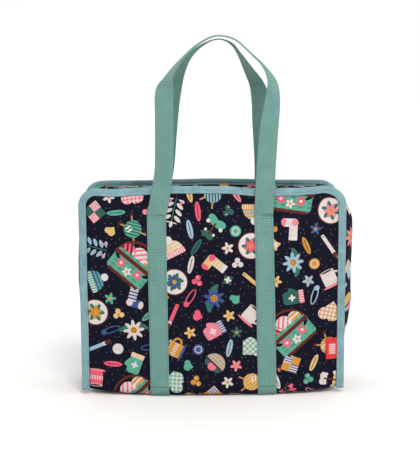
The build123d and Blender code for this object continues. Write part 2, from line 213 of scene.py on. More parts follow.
printLook = dict(
    ground=tint(5, 6, 21),
    cell=(62.0, 54.0),
    basketEvery=4,
    basketStart=(-124.0, -108.0),
    basketRoom=(30.0, 45.0),
    seedScale=0.085,
    jitter=5.0,
    softness=2.2,
    inks=[
        tint(232, 92, 118),
        tint(216, 204, 200),
        tint(92, 166, 142),
        tint(206, 146, 58),
        tint(232, 132, 146),
        tint(48, 96, 84),
        tint(222, 184, 122),
        tint(62, 84, 138),
        tint(156, 184, 200),
    ],
    rust=tint(96, 40, 32),
    cream=tint(224, 212, 208),
    ochre=tint(206, 148, 56),
    leaf=tint(52, 112, 88),
    pink=tint(232, 116, 140),
    tan=tint(186, 138, 106),
)


def printedCloth(name):
    p = Paint(name, roughness=0.82, specular=0.08)
    look = printLook
    wide, high = look["cell"]
    soft = look["softness"]
    cream, rust, ochre = look["cream"], look["rust"], look["ochre"]
    leaf, pink, tan = look["leaf"], look["pink"], look["tan"]
    place = p.flat()
    now = {}  # the place that forms are drawn on, and the colour so far

    def lattice(shiftX, shiftY, seed, wide=wide, high=high):
        # which cell a point lies in, its place in that cell and the cell's three chances
        x, y, _ = p.parts(place)
        column = (x * (1 / wide) + (0.5 - shiftX / wide)).floor()
        across = x - shiftX - column * wide
        y = y - shiftY - (column % 2.0) * (high / 2)
        row = (y * (1 / high) + 0.5).floor()
        cell = p.point(column, row, seed)
        chance = p.node("ShaderNodeTexWhiteNoise", dict(noise_dimensions="3D"), {"Vector": cell}, out=1)
        shift = p.vector("MULTIPLY_ADD", chance, (look["jitter"],) * 3, (-look["jitter"] / 2,) * 3)
        local = p.vector("SUBTRACT", p.point(across, y - row * high), shift)
        return column, row, p.vector("MULTIPLY", local, (1, 1, 0)), chance

    def turned(angle, at=None):
        return p.node("ShaderNodeVectorRotate", dict(rotation_type="Z_AXIS"),
                      {"Vector": at or now["at"], "Angle": angle})

    def away(x, y, at):
        return p.vector("DISTANCE", at or now["at"], (x, y, 0), out=1)

    def disc(x, y, radius, at=None):
        return away(x, y, at).scaled(-soft, radius * soft + 0.5)

    def ring(x, y, radius, half, at=None):
        return abs(away(x, y, at) - radius).scaled(-soft, half * soft + 0.5)

    def oval(x, y, a, b, at=None):
        within = p.vector("MULTIPLY_ADD", at or now["at"], (1 / a, 1 / b, 0), (-x / a, -y / b, 0))
        small = min(a, b)
        return p.vector("LENGTH", within, out=1).scaled(-soft * small, small * soft + 0.5)

    def bar(x, y, a, b, radius, at=None):
        # a rounded oblong of half sizes a and b, grown by a radius
        off = p.vector("ABSOLUTE", p.vector("SUBTRACT", at or now["at"], (x, y, 0)))
        off = p.vector("MAXIMUM", p.vector("SUBTRACT", off, (a, b, 0)), (0, 0, 0))
        return p.vector("LENGTH", off, out=1).scaled(-soft, radius * soft + 0.5)

    def petals(count, radius, depth, at=None):
        at = at or now["at"]
        x, y, _ = p.parts(at)
        edge = (x.sum("ARCTAN2", y, x) * count).cosine() * depth + radius
        return (edge - p.vector("LENGTH", at, out=1)).scaled(soft, 0.5)

    def bands(value, shift, steep=2.5):
        return value.sine().scaled(steep, shift)

    def palette(chance):
        inks = look["inks"]
        stops = [(index / len(inks), ink) for index, ink in enumerate(inks)]
        return p.node("ShaderNodeValToRGB", dict(stops=stops), {0: chance})

    def draw(kind, motifs):
        # each motif is a list of layers, laid where the cell is of its kind
        for number, layers in enumerate(motifs):
            here = kind.sum("COMPARE", kind, float(number), 0.5)
            for mask, colour in layers:
                now["colour"] = p.mix(here * mask, now["colour"], colour)

    # the navy ground, mixed paler and darker in wide soft blotches
    ground = p.cloud(place, 0.02, 3.0).scaled(0.5, -0.02)
    blotchedGround = p.mix(ground, look["ground"], tint(16, 18, 44))
    size = look["seedScale"]
    seeds = p.node("ShaderNodeTexVoronoi", dict(voronoi_dimensions="2D"),
                   {"Vector": place, "Scale": size, "Randomness": 0.9})
    now["colour"] = p.mix((seeds * (1 / size)).scaled(-2.0, 2.0) * 0.6, blotchedGround, tint(150, 120, 110))

    every = look["basketEvery"]
    _, _, basket, basketChance = lattice(*look["basketStart"], 4.0, wide * every, high * every)
    column, row, local, chance = lattice(0, 0, 1.0)
    clear = p.vector("DISTANCE", basket, local, out=1) > look["basketRoom"][0]
    kind = ((column * 5.0 + row * 3.0) % 13.0 + 1.0) * clear - 1.0
    chanceX, chanceY, chanceZ = p.parts(chance)
    now["at"] = p.vector("MULTIPLY", turned(chanceZ * (2 * math.pi), local), (1.05, 1.05, 0))
    x, y, _ = p.parts(now["at"])
    folded = p.point(abs(x), y)
    main, second = palette(chanceX), palette((chanceX + 0.37) % 1.0)
    third = palette((chanceY * 0.6 + chanceX * 0.4 + 0.62) % 1.0)
    stripes, slant, tall = bands(y * 1.15, 0.5), bands(x * 1.0 + y * 0.8, 0.2), bands(x * 1.5, 0.3)
    leftTurn, rightTurn, square = turned(0.55), turned(-0.55), turned(math.pi / 4)
    ball, dome, bowl = disc(0, 0, 14.5), disc(0, -5, 17.5) * (y > -5.0), disc(0, 1, 18) * (y < 1.0)
    heart = disc(8.2, 5.5, 10.2, folded).join(bar(-2.2, -2.2, 11.2, 11.2, 1.0, square))
    checks = (bands(x * 0.95, 0.5, 4) + bands(y * 0.95, 0.5, 4)) * 0.5
    leafPlace = p.point(abs(x), y - (y * 0.1 + 0.5).floor() * 10.0)
    leafy = oval(7.4, -4.2, 6.6, 2.9, turned(-0.55, leafPlace)) * (abs(y + 1.0) < 19.0)
    squareX, squareY, _ = p.parts(square)
    kite = bar(0, 0, 13, 13, 0.6, square)
    quarters = kite * ((squareX * squareY) > 0.0)
    draw(kind, [
        # ball of yarn on two needles
        [(bar(0, 0, 0.3, 23, 1.0, leftTurn), tan), (bar(0, 0, 0.3, 23, 1.0, rightTurn), tan),
         (disc(0, 24, 2.6, leftTurn), rust), (disc(0, 24, 2.6, rightTurn), rust),
         (ball, main), (ball * slant, second), (disc(-5, 4, 5.5) * stripes, cream)],
        # mitten
        [(bar(10.5, 3.5, 0.5, 4.5, 3.6, turned(0.5)), main), (bar(0, 1, 5.5, 8.5, 5.5), main),
         (bar(0, -16, 10, 3, 1.2), second),
         (bar(0, -16, 10, 3, 0.8) * tall, cream), (petals(4.0, 4.4, 1.6), cream)],
        # hat with a bobble
        [(dome, main), (dome * stripes, third), (bar(0, -9, 16.5, 2.2, 2.4), second),
         (bar(0, -9, 16.5, 2.2, 1.8) * tall, cream), (disc(0, 15, 6.2), cream)],
        # checked heart
        [(heart, cream), (heart * checks, main)],
        # daisy on two leaves
        [(oval(12, -12, 9.5, 3.8, turned(-0.5, folded)), leaf), (petals(8.0, 13.5, 4.2), main),
         (disc(0, 0, 5.6), ochre), (ring(0, 0, 3.2, 0.5), rust)],
        # leafy sprig
        [(bar(0, -1, 0.1, 20, 0.7), leaf), (leafy, third), (oval(0, 20, 2.8, 5), third),
         (disc(9.5, -15.5, 2.4, folded), pink)],
        # cup
        [(ring(12.5, -1, 6.5, 1.7), main), (bar(0, -1, 9.5, 9.5, 2.5), main),
         (bar(0, -2, 11.6, 3.2, 0.3) * tall, cream),
         (oval(0, 11, 12, 2.6), cream), (oval(0, 11, 9.8, 1.7), rust), (oval(0, -15, 16, 2.2), second)],
        # sock
        [(bar(-5, 5, 5, 10, 2).join(bar(1, -8.5, 8, 2.5, 4.5)), main),
         (bar(-5, 5, 5, 9, 1.8) * stripes, third),
         (disc(-7.5, -9, 5.6), second), (oval(11.5, -9, 4.2, 6.6), second),
         (bar(-5, 17.5, 6, 1.8, 1.2), cream)],
        # kite of four cloths
        [(kite, main), (quarters, cream), (quarters * bands(squareX * 1.6, 0.5, 3), second),
         (bar(0, -22, 2.6, 1.0, 0.8), third)],
        # brush
        [(bar(0, -5, 0.6, 15, 2.4), main), (bar(0, 12.5, 2.6, 2.2, 0.5), cream),
         (oval(0, 19, 3.6, 6.2), rust), (disc(0, -19, 1.1), look["ground"])],
        # butterfly
        [(oval(10.5, 9.5, 10.2, 6.6, turned(-0.35, folded)), main),
         (oval(7.6, -9.5, 7.2, 6.0, turned(0.35, folded)), second),
         (disc(12.5, 6.5, 3.2, folded), cream), (disc(8.2, -6.8, 2.2, folded), cream),
         (bar(0, 0, 0.2, 9.5, 1.3), rust)],
        # bowl of little balls
        [(disc(9.5, 4, 6.8, folded), third), (disc(0, 6.5, 7.2), pink), (bowl, main),
         (bowl * stripes, second), (bar(0, 1, 18, 0.8, 0.8), rust)],
        # round mat with a rosette
        [(disc(0, 0, 22.5), rust), (disc(0, 0, 20.6), cream), (petals(6.0, 12.0, 4.0, turned(0.4)), leaf),
         (petals(6.0, 9.5, 3.2), main), (disc(0, 0, 3.6), ochre)],
    ])

    # small things between the large ones
    side = wide / 2 - (high / 2) ** 2 / (2 * wide)
    _, _, firstLocal, firstChance = lattice(side, high / 2, 2.0)
    _, _, otherLocal, otherChance = lattice(-side, high / 2, 3.0)
    nearer = p.vector("LENGTH", otherLocal, out=1) < p.vector("LENGTH", firstLocal, out=1)
    small = p.mixPlace(nearer, firstLocal, otherLocal)
    clear = p.vector("DISTANCE", basket, small, out=1) > look["basketRoom"][1]
    chanceX, chanceY, chanceZ = p.parts(p.mixPlace(nearer, firstChance, otherChance))
    kind = ((chanceY * 7.0).floor() + 1.0) * clear - 1.0
    now["at"] = turned(chanceZ * (2 * math.pi), small)
    x, y, _ = p.parts(now["at"])
    folded = p.point(abs(x), y)
    main = palette((chanceX + chanceY * 0.5) % 1.0)
    draw(kind, [
        [(disc(0, 0, 8.6), main), (ring(0, 0, 5.2, 0.6), cream)],
        [(petals(5.0, 7.0, 2.6), main), (disc(0, 0, 2.4), ochre)],
        [(disc(3.7, 2.4, 4.7, folded).join(bar(-1, -1, 5.0, 5.0, 0.6, turned(math.pi / 4))), main)],
        [(oval(0, 0, 14.5, 4.4), main), (bar(0, 0, 10, 0.05, 0.5), look["ground"])],
        [(disc(4.6, -2, 4.2, folded), main), (disc(0, 5, 4.2), main), (disc(5.6, -1, 1.0, folded), cream)],
        [(oval(0, 0, 15.5, 5.2), main), (oval(0, 0, 13.6, 3.4), look["ground"]), (disc(12.5, 0, 4.4), main)],
        [(petals(4.0, 6.4, 2.8), main), (petals(4.0, 4.2, 1.6, turned(0.78)), cream)],
    ])

    # now and then a large basket of yarn
    now["at"] = turned(p.parts(basketChance)[2] * 1.6 - 0.8, basket)
    x, y, _ = p.parts(now["at"])
    folded = p.point(abs(x), y)
    mint, rose, gold = look["inks"][2], look["inks"][0], look["inks"][3]
    body = bar(0, -9, 27, 12, 7)
    leftBall, rightBall, topBall = disc(-19, 12, 11.5), disc(19, 12, 11.5), disc(0, 16, 13.5)
    flowers, flower = p.vector("SUBTRACT", folded, (16, -10, 0)), p.vector("SUBTRACT", now["at"], (0, -16, 0))
    draw(y * 0.0, [[
        (ring(0, 2, 33, 2.0) * (y > 2.0), rust), (leftBall, rose), (rightBall, gold), (topBall, cream),
        (leftBall * bands(x * 0.8 + y * 0.5, 0.1), rust), (topBall * bands(x * 0.6 - y * 0.6, 0.1), pink),
        (rightBall * bands(y * 0.9, 0.1), cream),
        (body, mint), (body * (bands(y * 0.9, 0.4) * bands(x * 0.45, 0.6)) * 0.55, leaf),
        (oval(21, -19, 6.5, 2.6, turned(-0.6, folded)), look["ground"]),
        (petals(5.0, 6.4, 2.0, flowers), rose),
        (disc(16, -10, 2.4, folded), cream), (petals(5.0, 6.0, 1.8, flower), cream),
        (disc(0, -16, 2.2), gold),
        (bar(0, 2, 34, 0.8, 2.6), rust), (bar(0, -28, 27, 0.4, 2.0), rust),
    ]])

    x, y, _ = p.parts(place)
    weave = plainWeave(x, y, 0.55, 0.5)
    fibre = p.cloud(place, 1.6, 3.0, 0.6)
    wash = p.cloud(place, 0.16, 3.0, 0.6).scaled(2.0, -0.75)
    shaded = p.mix(wash * 0.2, now["colour"], look["ground"])
    # the weave's raised threads mixed a little paler
    paleThreadTops = p.mix(weave * 0.02, shaded, tint(150, 150, 170))
    p.colour(p.mix(fibre.scaled(2.2, -0.8) * 0.22, paleThreadTops, tint(6, 6, 14)))
    p.dull(0.78 + fibre * 0.12)
    p.bump(weave * 0.6 + fibre * 0.6, 0.00012)
    return p.material


def clothPaint(name, roughness, sheen, specular):
    # a cloth's paint with its flat place, in full and as two numbers
    p = Paint(name, roughness=roughness, sheen=sheen, specular=specular)
    place = p.flat()
    return (p, place, *p.parts(place)[:2])


def tapeCloth(name, light, dark):
    # folded twill tape: fine slanting ribs, a little paler on its ridges
    p, place, x, y = clothPaint(name, 0.7, 0.12, 0.3)
    twill = ((x + y) * (2 * math.pi / 0.9)).sine() * 0.5 + 0.5
    cloud = p.cloud(place, 0.05, 4.0)
    fibre = p.cloud(place, 2.0, 2.0)
    streak = p.cloud(p.vector("MULTIPLY", place, (0.06, 0.9, 1)), 1.0, 2.0)
    base = p.mix((cloud * 0.6 + streak * 0.6).scaled(2.2, -0.75), dark, light)
    p.colour(p.mix(twill * 0.22, base, dark))
    p.dull(0.66 + fibre * 0.16)
    p.bump(twill * 0.7 + fibre * 0.5, 0.00014)
    return p.material


def webbingCloth(name, light, dark):
    # dense ribbed webbing: weft ribs across, warp cords along, plain selvedges; a painted highlight on the
    # ribs' tops and painted shade in the hollows between them
    p, place, x, y = clothPaint(name, 0.85, 0.15, 0.2)
    slack = p.cloud(place, 0.15, 2.0) * 0.9
    weft, warp = ((x + slack) * (math.pi / 2.6)).sine(), (y * (math.pi / 2.14)).sine()
    ribs, cords, over = abs(weft), abs(warp), weft * warp
    cloud = p.cloud(place, 0.035, 4.0)
    fibre = p.cloud(place, 0.55, 3.0, 0.7)
    base = p.mix(cloud.scaled(1.5, -0.25), dark, light)
    speckle = p.mix(fibre.scaled(5.0, -2.2) * 0.5, base, tint(66, 112, 100))
    ridge = ribs * (cords * 0.6 + 0.4) + over * 0.2
    # painted highlight on the ribs' raised tops, then painted shade in the hollows between them
    ridgeHighlight = p.mix(ridge.scaled(1.6, -0.8) * (1.25 - fibre) * 0.42, speckle, tint(170, 208, 198))
    p.colour(p.mix((1 - ridge).scaled(1.5, -0.35) * 0.45, ridgeHighlight, tint(64, 110, 98)))
    p.dull(0.8 + fibre * 0.15)
    p.bump(ribs * cords * 0.8 + over * 0.25 + fibre * 0.35, 0.0004)
    return p.material


def wovenCloth(name, light, dark, pitch, roughness=0.8, depth=0.0001):
    p, place, x, y = clothPaint(name, roughness, 0.05, 0.25)
    weave = plainWeave(x, y, pitch, pitch)
    cloud = p.cloud(place, 0.04, 4.0)
    fibre = p.cloud(place, 1.5, 3.0)
    base = p.mix(cloud.scaled(1.4, -0.2), dark, light)
    p.colour(p.mix(weave * 0.3, base, dark))
    p.dull(roughness - 0.06 + fibre * 0.12)
    p.bump(weave * 0.7 + fibre * 0.5, depth)
    return p.material


def tabCloth(name):
    # red ribbon with a short row of plain knit stitches in white
    p, _, x, y = clothPaint(name, 0.6, 0.08, 0.4)
    weave = plainWeave(x, y, 0.4, 0.35)
    column = abs((x + 100.0) % 3.6 - 1.8)
    row = (y + column * 1.1 + 100.0) % 3.4
    stitch = abs(row - 1.7).scaled(-3.0, 2.6)
    window = (abs(x - 10.5) < 5.4) * (abs(y - 17.0) < 8.5)
    red = p.mix(weave * 0.35, tint(214, 26, 34), tint(176, 14, 22))
    p.colour(p.mix(stitch * window, red, tint(240, 232, 230)))
    p.dull(0.55 + weave * 0.1)
    p.bump(weave + stitch * window, 0.00012)
    return p.material


def evenMaterial(name, light, dark, scale, detail, dull, relief, **finish):
    # a plain surface on which one soft cloud turns colour, dullness and relief
    p = Paint(name, **finish)
    cloud = p.cloud(p.solid(), scale, detail)
    p.colour(p.mix(cloud, dark, light))
    p.dull(dull[0] + cloud * dull[1])
    p.bump(cloud, relief)
    return p.material


def foamMaterial(name):
    p = Paint(name, roughness=0.95, specular=0.1)
    place = p.solid()
    cells = p.node("ShaderNodeTexVoronoi", None, {"Vector": place, "Scale": 0.9})
    cloud = p.cloud(place, 0.05, 3.0)
    p.colour(p.mix(cloud, tint(214, 212, 204), tint(232, 230, 224)))
    p.dull(0.9 + cells * 0.05)
    p.bump(cells, 0.0004)
    return p.material


def metalMaterial(name, roughness):
    p = Paint(name, roughness=roughness, metallic=1.0, specular=0.5)
    place = p.solid()
    scratches = p.cloud(p.vector("MULTIPLY", place, (0.3, 4.0, 4.0)), 1.5, 3.0)
    cloud = p.cloud(place, 0.3, 3.0)
    p.colour(p.mix(cloud, tint(176, 178, 182), tint(214, 214, 212)))
    p.dull(roughness - 0.05 + scratches * 0.16)
    p.bump(scratches, 0.00004)
    return p.material


thread = dict(scale=1.2, detail=2.0, dull=(0.5, 0.2), relief=0.0001, roughness=0.6, sheen=0.1, specular=0.4)
clothPrint = printedCloth("printedCloth")
tapeFront = tapeCloth("bindingTape", tint(141, 178, 185), tint(94, 129, 136))
webbing = webbingCloth("webbing", tint(121, 164, 158), tint(98, 140, 134))
liningCloth = wovenCloth("liningCloth", tint(176, 206, 200), tint(146, 182, 176), 0.5)
zipTape = wovenCloth("zipTape", tint(26, 28, 56), tint(16, 17, 36), 0.7)
plainSide = wovenCloth("plainSide", tint(34, 37, 66), tint(22, 24, 46), 0.6)
redRibbon = tabCloth("tabRibbon")
tapeThread = evenMaterial("tapeThread", tint(172, 206, 206), tint(120, 160, 162), **thread)
webThread = evenMaterial("webbingThread", tint(104, 150, 136), tint(74, 118, 104), **thread)
darkThread = evenMaterial("darkThread", tint(60, 96, 82), tint(34, 60, 52), **thread)
foam = foamMaterial("foam")
board = evenMaterial("stiffBoard", tint(214, 212, 206), tint(196, 194, 188), 0.9, 3.0, (0.5, 0.2), 0.0002,
                     roughness=0.6, specular=0.4)
zipMetal = metalMaterial("zipMetal", 0.32)
zipCoil = evenMaterial("zipCoil", tint(34, 36, 66), tint(20, 21, 44), 0.6, 2.0, (0.32, 0.16), 0.00005,
                       roughness=0.4, specular=0.5)
print("materials mixed")


# Shapes shared by the bag's pieces, in metres

bag = dict(
    halfWidth=0.200, taper=0.001, halfDepth=0.055, top=0.322, corner=0.018,
    base=0.0021, lift=0.006, liftStart=0.112, fold=0.011, under=0.043,
    bulge=0.020, bulgeTop=0.08, bulgeGrown=0.095, fullness=0.85,
)


def smoothStep(value, low, high):
    share = min(1.0, max(0.0, (value - low) / (high - low)))
    return share * share * (3 - 2 * share)


def ripple(x, y, z):
    # soft noise about 0
    return noise.noise(Vector((x, y, z)))


def sideSeam(z):
    return bag["halfWidth"] - bag["taper"] * (1 - z / bag["top"])


def footLevel(x):
    risen = max(0.0, abs(x) - bag["liftStart"]) / (bag["halfWidth"] - bag["liftStart"])
    return bag["base"] + bag["lift"] * risen**2


def bulge(x, z):
    across = max(0.0, 1 - (x / sideSeam(z)) ** 2) ** bag["fullness"]
    grown = smoothStep(bag["top"] - z, -0.008, bag["bulgeGrown"])
    return bag["bulge"] * across * (bag["bulgeTop"] + (1 - bag["bulgeTop"]) * grown)


def creases(x, z, seed):
    # soft dents in the filled cloth, and puckers that run in from the seams
    edge = min(sideSeam(z) - abs(x), bag["top"] - z)
    calm = smoothStep(edge, 0.0, 0.02)
    soft = ripple(x * 9 + seed, z * 7, 1.7) * 0.0016
    slanted = ripple((x + z * 0.5) * 26 + seed, (z - x * 0.4) * 6, 4.2) * 0.0007
    pucker = ripple(x * 55, z * 55, seed + 9.1) * 0.0006 * (1 - smoothStep(edge, 0.008, 0.045))
    return (soft + slanted) * calm + pucker * smoothStep(edge, 0.0, 0.008)


def wallPlace(x, run, depth, seed=None):
    # a point of the front wall: run goes down from the top seam, round the fold and under
    foot = footLevel(x)
    bend = foot + bag["fold"]
    height = bag["top"] - bend
    reach = bag["fold"] - depth
    out = bag["halfDepth"] + bulge(x, bend)
    if run <= height:
        z = bag["top"] - run
        loose = creases(x, z, seed) if seed is not None else 0.0
        return Vector((x, depth - bag["halfDepth"] - bulge(x, z) - loose * smoothStep(z, 0.012, 0.035), z))
    turn = (run - height) / bag["fold"]
    if turn <= math.pi / 2:
        return Vector((x, bag["fold"] - out - reach * math.cos(turn), bend - reach * math.sin(turn)))
    inward = run - height - bag["fold"] * math.pi / 2
    return Vector((x, bag["fold"] - out + inward, foot + depth))


def wallLength(x):
    bend = footLevel(x) + bag["fold"]
    under = bag["halfDepth"] + bulge(x, bend) - bag["fold"] - bag["under"]
    return bag["top"] - bend + bag["fold"] * math.pi / 2 + under


def mirrored(place, back):
    return Vector((place.x, -place.y, place.z)) if back else place


# Making pieces


def laidGrid(across, along, place):
    # a grid whose points are taken to their places, with their places on the flat cloth kept beside
    bm = bmesh.new()
    bmesh.ops.create_grid(bm, x_segments=across, y_segments=along, size=0.5)
    layer = bm.loops.layers.uv.verify()
    flat = {}
    for vert in bm.verts:
        vert.co, flat[vert] = place(vert.co.x + 0.5, vert.co.y + 0.5)
    for face in bm.faces:
        for loop in face.loops:
            loop[layer].uv = flat[loop.vert]
    return bm


def cutCloth(across, along, place, outward):
    # one sheet of cloth with its right side out
    bm = laidGrid(across, along, place)
    bm.normal_update()
    facing = sum(face.normal.dot(outward(face.calc_center_median())) * face.calc_area() for face in bm.faces)
    if facing < 0:
        bmesh.ops.reverse_faces(bm, faces=bm.faces)
    return bm


def makePiece(name, bm, material, replaced=(), thickness=0.0, wrongSide=None):
    mesh = bpy.data.meshes.new(name)
    bm.to_mesh(mesh)
    bm.free()
    for layer in mesh.uv_layers:
        layer.name = "cut"
    mesh.materials.append(material)
    mesh.shade_smooth()
    piece = bpy.data.objects.new(name, mesh)
    bpy.context.collection.objects.link(piece)
    if thickness:
        solid = piece.modifiers.new("thickness", "SOLIDIFY")
        solid.thickness = thickness
        if wrongSide:
            mesh.materials.append(wrongSide)
            solid.material_offset = 1
    if replaced:
        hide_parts(*replaced)
    return piece


def layCloth(piece):
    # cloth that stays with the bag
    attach(piece, "root")


def walked(places):
    # how far along a row of places each one lies
    lengths = [0.0]
    for first, second in zip(places, places[1:]):
        lengths.append(lengths[-1] + (Vector(second) - Vector(first)).length)
    return lengths


def tubeAlong(stations, profile, lengths):
    # a closed profile in millimetres, carried along stations of a place, an outward and a sideways direction
    loop = [(a / 1000, b / 1000) for a, b in profile + profile[:1]]
    around = walked(loop)

    def place(u, v):
        station, corner = round(u * (len(stations) - 1)), round(v * (len(loop) - 1))
        at, out, side = stations[station]
        a, b = loop[corner]
        return at + out * a + side * b, (lengths[station], around[corner])

    bm = laidGrid(len(stations) - 1, len(loop) - 1, place)
    bmesh.ops.remove_doubles(bm, verts=bm.verts, dist=0.000005)
    bmesh.ops.holes_fill(bm, edges=[edge for edge in bm.edges if edge.is_boundary], sides=0)
    bmesh.ops.recalc_face_normals(bm, faces=bm.faces)
    return bm


def stampMesh(make):
    # a small shape made once, to be laid down many times
    bm = bmesh.new()
    make(bm)
    mesh = bpy.data.meshes.new("stamp")
    bm.to_mesh(mesh)
    bm.free()
    return mesh


def stamp(bm, mesh, place):
    mesh.transform(place)
    bm.from_mesh(mesh)
    mesh.transform(place.inverted())


def sewPiece(name, stitches, look, thread):
    # short rounded stitches: each is a middle, a direction and the cloth's outward direction
    size = Matrix.Diagonal((look["length"] / 2, look["width"] / 2, look["height"] / 2, 1))

    def bead(small):
        bmesh.ops.create_uvsphere(small, u_segments=6, v_segments=4, radius=1, matrix=size)

    bm = bmesh.new()
    stitch = stampMesh(bead)
    for middle, along, out in stitches:
        side = along.cross(out).normalized()
        out = side.cross(along).normalized()
        turn = Matrix((along.normalized(), -side, out)).transposed().to_4x4()
        stamp(bm, stitch, Matrix.Translation(middle) @ turn)
    bpy.data.meshes.remove(stitch)
    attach(makePiece(name, bm, thread), "root")


# Front and back panels

panel = dict(across=132, down=124, inset=0.0012, thickness=0.0012, cut=(0.398, 0.350), printShift=0.85)


def topInset(z):
    # how far a rounded top corner brings the side in
    radius = bag["corner"]
    over = z - (bag["top"] - radius)
    return 0.0 if over <= 0 else radius - math.sqrt(max(0.0, radius**2 - over**2))


topSway = dict(  # along the seam in metres, up in millimetres
    front=[
        (-0.192, 0), (-0.157, -1.9), (-0.113, 0.4), (-0.063, 2.4), (0.019, 2.0), (0.068, -1.8),
        (0.101, -2.1), (0.134, -1.7), (0.156, 0.0), (0.174, 2.2), (0.192, 0),
    ],
    back=[
        (-0.192, 0), (-0.165, 1.2), (-0.11, 1.6), (-0.06, 3.2), (0, 4.1), (0.05, 3.2),
        (0.1, 1.6), (0.165, 0.6), (0.192, 0),
    ],
)


def topRise(x, back):
    # how far the top seam stands above its level, in metres
    stops = topSway["back" if back else "front"]
    for (a, low), (b, high) in zip(stops, stops[1:]):
        if a <= x <= b:
            return (low + (high - low) * smoothStep(x, a, b)) / 1000
    return 0.0


def wallSheet(across, down, inset, depth, back, seed=None, topDrop=0.0):
    def place(u, v):
        def runAt(x):
            return topDrop + (1 - v) * (wallLength(x) - topDrop)

        z = max(bag["top"] - runAt((2 * u - 1) * (bag["halfWidth"] - inset)), 0.0)
        x = (2 * u - 1) * (sideSeam(z) - inset - topInset(z))
        run = runAt(x)
        spot = mirrored(wallPlace(x, run, depth, seed), back)
        if topDrop == 0:
            spot.z += topRise(spot.x, back) * (1 - smoothStep(run, 0.0, 0.06))
        return spot, (-x + panel["printShift"] if back else x, -run)

    return cutCloth(across, down, place, lambda at: Vector((0, at.y, -0.02 if at.z < 0.01 else 0)))


for name, back, seed in (("front", False, 0.0), ("back", True, 5.3)):
    bm = wallSheet(panel["across"], panel["down"], panel["inset"], 0.0, back, seed)
    cloth = makePiece(name + "PanelCloth", bm, clothPrint, [name + "_panel"],
                      panel["thickness"])
    layCloth(cloth)
print("panels cut")


# Base, between the two turned-under edges

baseCloth = dict(across=72, along=12, halfWidth=0.1975, halfDepth=0.0428, thickness=0.0012, printShift=0.31,
                 cut=(0.395, 0.087))


def baseSheet(look, depth):
    def place(u, v):
        x = (2 * u - 1) * look["halfWidth"]
        y = (2 * v - 1) * look["halfDepth"]
        return Vector((x, y, footLevel(x) + depth)), (x + baseCloth["printShift"], y)

    return cutCloth(look["across"], look["along"], place, lambda at: Vector((0, 0, -1)))


bm = baseSheet(baseCloth, 0.0)
base = makePiece("basePanelCloth", bm, clothPrint, ["base_panel"], baseCloth["thickness"])
layCloth(base)


# Side gussets: one strip each, up the side and round the top corner

gusset = dict(
    along=104, across=36, half=0.0536, foot=0.0086, stripEnd=0.176, gap=-0.0008,
    rightRise=0.0275, leftRise=0.017, upturn=0.0035, thickness=0.0012, cut=(0.36, 0.118), printShift=1.7,
)


def gussetPath(share):
    # place and outward direction, from the foot at 0 to the strips at 1
    corner = bag["corner"]
    side = bag["top"] - corner - gusset["foot"]
    top = sideSeam(bag["top"]) - corner - (gusset["stripEnd"] + gusset["gap"])
    run = share * (side + corner * math.pi / 2 + top)
    middle = Vector((sideSeam(bag["top"]) - corner, 0, bag["top"] - corner))
    if run <= side:
        z = gusset["foot"] + run
        return Vector((sideSeam(z), 0, z)), Vector((1, 0, 0)), run
    if run <= side + corner * math.pi / 2:
        turn = (run - side) / corner
        out = Vector((math.cos(turn), 0, math.sin(turn)))
        return middle + out * corner, out, run
    return middle + Vector((side + corner * math.pi / 2 - run, 0, corner)), Vector((0, 0, 1)), run


def gussetFill(share):
    low = 0.1 + 0.9 * smoothStep(share, -0.03, 0.42)
    return low * (1 - 0.95 * smoothStep(share, 0.80, 1.0))


def gussetSheet(side, rise, seed, along, across, depth=0.0, margin=0.0, first=0.0, upturn=0.0):
    def place(u, v):
        share = first + (1 - first) * u
        spot, out, run = gussetPath(share)
        y = (2 * v - 1) * (gusset["half"] - margin)
        high = max(rise * gussetFill(share), 0.0008)
        arc = (gusset["half"] ** 2 + high**2) / (2 * high)
        height = math.sqrt((arc - depth) ** 2 - y**2) - arc + high
        edge = abs(y) / gusset["half"]
        height += upturn * smoothStep(edge, 0.93, 1.0)
        loose = ripple(run * 14, y * 16, seed) * 0.0022 + ripple(run * 45, y * 30, seed + 3) * 0.0007
        loose *= (1 - smoothStep(edge, 0.75, 1.0)) * smoothStep(share, 0.0, 0.12)
        height += loose * (1 - smoothStep(share, 0.9, 1.0))
        spot = spot + out * height + Vector((0, y, 0))
        return Vector((side * spot.x, spot.y, spot.z)), (y + gusset["printShift"] * side, run)

    def outward(at):
        return Vector((side * max(0.0, 0.33 - at.z), 0, max(0.0, at.z - 0.28)))

    return cutCloth(along, across, place, outward)


for side, name, seed in ((1, "right", 2.0), (-1, "left", 6.0)):
    bm = gussetSheet(side, gusset[name + "Rise"], seed, gusset["along"], gusset["across"],
                     upturn=gusset["upturn"])
    cloth = makePiece(name + "GussetCloth", bm, clothPrint, [name + "_gusset"],
                      gusset["thickness"])
    layCloth(cloth)
print("base and gussets cut")


# Strips beside the zip: a middle that opens as a flap, and ends that stay sewn

strip = dict(
    seam=0.0530, zip=0.0130, end=0.176, flap=0.1020, still=0.1308, closed=0.1657,
    top=0.3217, upturn=0.0008, thickness=0.0016, hinge=(0.0528, 0.3217), mesh=0.0028,
    rows=14, endMesh=(6, 12), printShift=(3.1, 0.9),
)


def stripPlace(x, y):
    # height of the strips' upper side
    seam, inner = strip["seam"], strip["zip"]
    outer = smoothStep(abs(y), 0.046, seam)
    wave = ripple(x * 16, y * 18, 7.7) * 0.0012
    wave *= smoothStep(seam - abs(y), 0.0, 0.012) * smoothStep(abs(y), inner, inner + 0.01)
    roll = 0.0007 * (1 - smoothStep(abs(y) - inner, 0.0, 0.004))
    return Vector((x, y, strip["top"] + strip["upturn"] * outer**2 + wave - roll))


